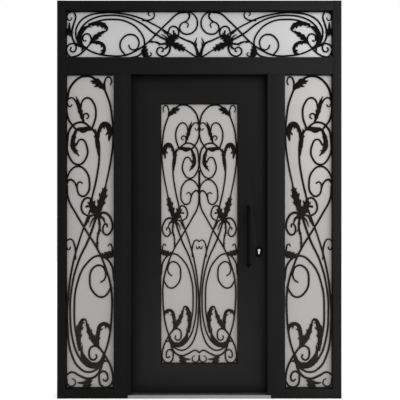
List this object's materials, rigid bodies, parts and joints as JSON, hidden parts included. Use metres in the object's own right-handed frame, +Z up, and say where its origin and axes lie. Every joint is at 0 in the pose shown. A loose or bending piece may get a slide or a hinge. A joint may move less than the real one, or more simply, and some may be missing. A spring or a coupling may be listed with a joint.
{
  "type": "aluminium front door",
  "caption": "Wide black entrance door set: a glazed leaf between narrow side lights and under a top light, each pane behind a scrolled metal grille, with pull handles and a key cylinder.",
  "frame": {"origin": "on the underside of the threshold, at the middle of the set's width and of its frame's depth", "axes": "+X to the right as seen from outside, +Y from outside to inside, +Z up"},
  "size_m": [1.9, 0.218, 2.66],
  "materials": {
    "black_paint": "satin powder coat",
    "grille_paint": "satin, slightly bronze black",
    "handle_paint": "semi-gloss black",
    "glass": "pale obscured",
    "nickel": "satin nickel",
    "threshold_metal": "mill, brushed along its length",
    "threshold_base": "matte",
    "seal_rubber": "matte",
    "spacer_metal": "dark anodised"
  },
  "bodies": {
    "frame": {"frame_jamb_left": "black_paint", "frame_jamb_right": "black_paint", "frame_head": "black_paint", "frame_sill_left": "black_paint", "frame_sill_right": "black_paint", "transom_bar": "black_paint", "mullion_left": "black_paint", "mullion_right": "black_paint", "door_lining_left": "black_paint", "door_lining_right": "black_paint", "strike_plate": "nickel", "threshold_nosing": "threshold_metal", "threshold_base": "threshold_base", "door_seal": "seal_rubber", "transom_glass": "glass", "sidelight_left_glass": "glass", "sidelight_right_glass": "glass", "transom_beads": "black_paint", "sidelight_left_beads": "black_paint", "sidelight_right_beads": "black_paint", "glass_spacers": "spacer_metal", "transom_grille": "grille_paint", "sidelight_left_grille": "grille_paint", "sidelight_right_grille": "grille_paint", "hinge_frame_halves": "black_paint", "hinge_pins": "nickel"},
    "leaf": {"leaf_hinge_stile": "black_paint", "leaf_lock_stile": "black_paint", "leaf_top_rail": "black_paint", "leaf_bottom_rail": "black_paint", "leaf_outer_skin": "black_paint", "leaf_inner_skin": "black_paint", "leaf_glass": "glass", "leaf_spacer": "spacer_metal", "leaf_beads": "black_paint", "leaf_grille": "grille_paint", "hinge_leaf_halves": "black_paint", "pull_bars": "handle_paint", "pull_posts": "handle_paint", "escutcheons": "handle_paint", "lock_cylinder": "nickel", "lock_faceplate": "nickel", "lock_bolts": "nickel"}
  },
  "joints": [
    {"name": "door_hinge", "type": "hinge", "parent": "frame", "child": "leaf", "pos_m": [-0.4705, 0.076, 1.19], "axis": [0, 0, 1], "range_deg": [0, 100]}
  ]
}
